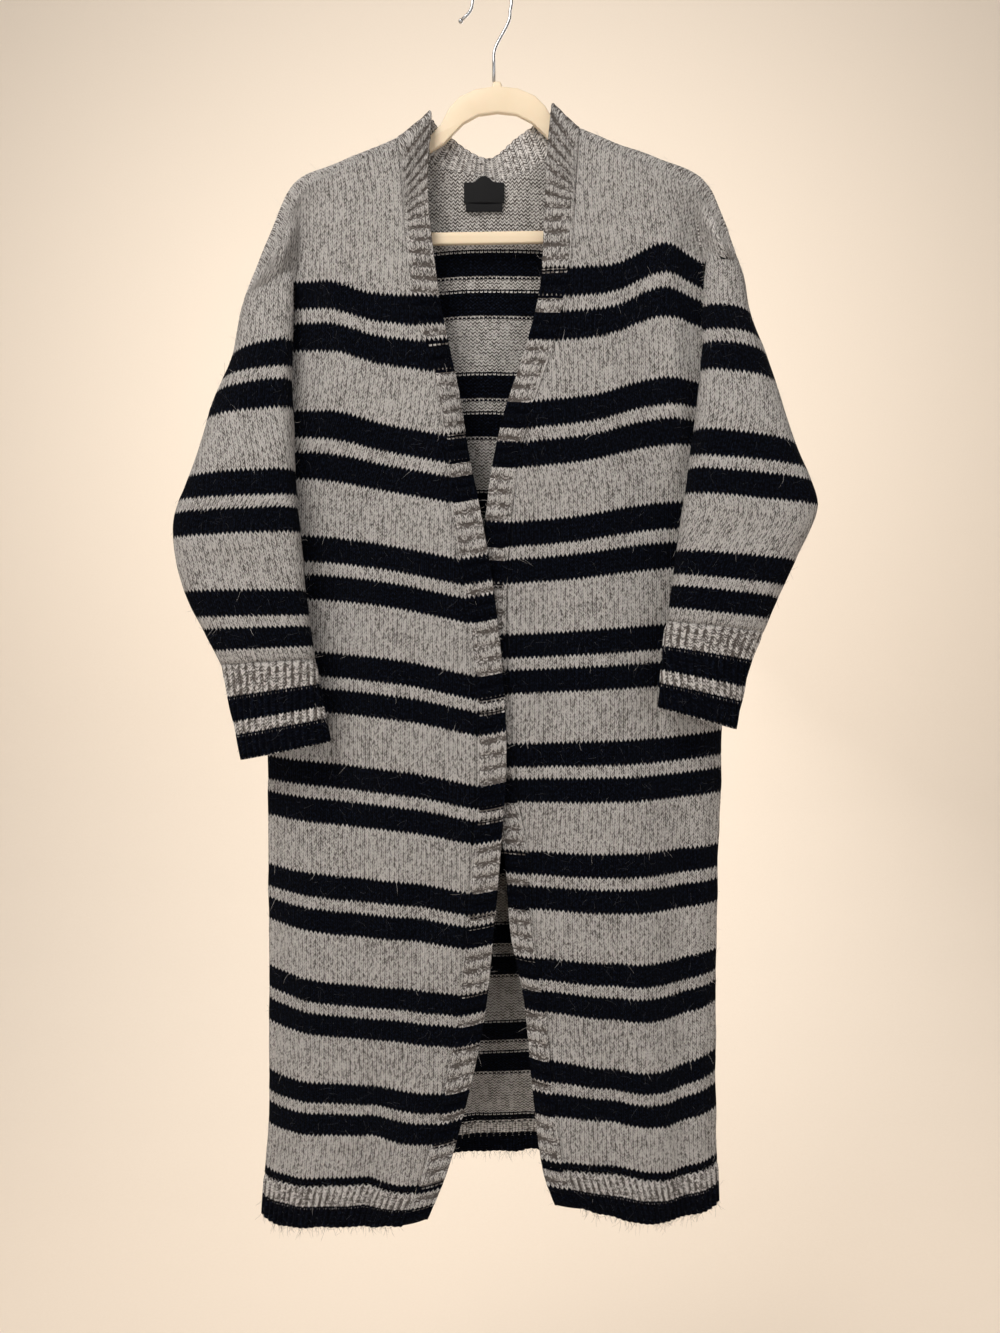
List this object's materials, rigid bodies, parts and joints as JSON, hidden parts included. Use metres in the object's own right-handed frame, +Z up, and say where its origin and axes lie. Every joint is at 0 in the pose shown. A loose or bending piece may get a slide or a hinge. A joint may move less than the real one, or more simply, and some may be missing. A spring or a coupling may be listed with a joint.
{
  "type": "duster cardigan on a clothes hanger",
  "caption": "Long open-front knitted cardigan with striped panels, ribbed cuffs and hem and ridged front bands, hung on a slim hanger with a wire hook.",
  "frame": {"origin": "inside crest of the hanger's hook, where the rail or wall hook carries it", "axes": "+Z up, +X to the viewer's right, +Y away from the viewer towards the garment's back"},
  "size_m": [0.6533, 0.1105, 1.3018],
  "materials": {
    "wool": "heather grey knit with dark navy stripes",
    "wool_rib": "heather grey ribbed knit with dark navy stripes",
    "label_tape": "black woven tape",
    "hanger_plastic": "cream, satin moulded",
    "hook_wire": "polished"
  },
  "bodies": {
    "root": {"back": "wool", "back_yoke": "wool", "back_skirt": "wool", "back_hem_rib": "wool_rib", "back_neck_band": "wool_rib", "right_front": "wool", "right_front_hem_rib": "wool_rib", "right_front_band": "wool_rib", "right_sleeve": "wool", "right_cuff": "wool_rib", "left_front": "wool", "left_front_hem_rib": "wool_rib", "left_front_band": "wool_rib", "left_sleeve": "wool", "left_cuff": "wool_rib", "neck_label": "label_tape", "size_tab": "label_tape", "hanger_body": "hanger_plastic", "hanger_hook": "hook_wire", "hook_ball": "hook_wire"}
  },
  "joints": []
}
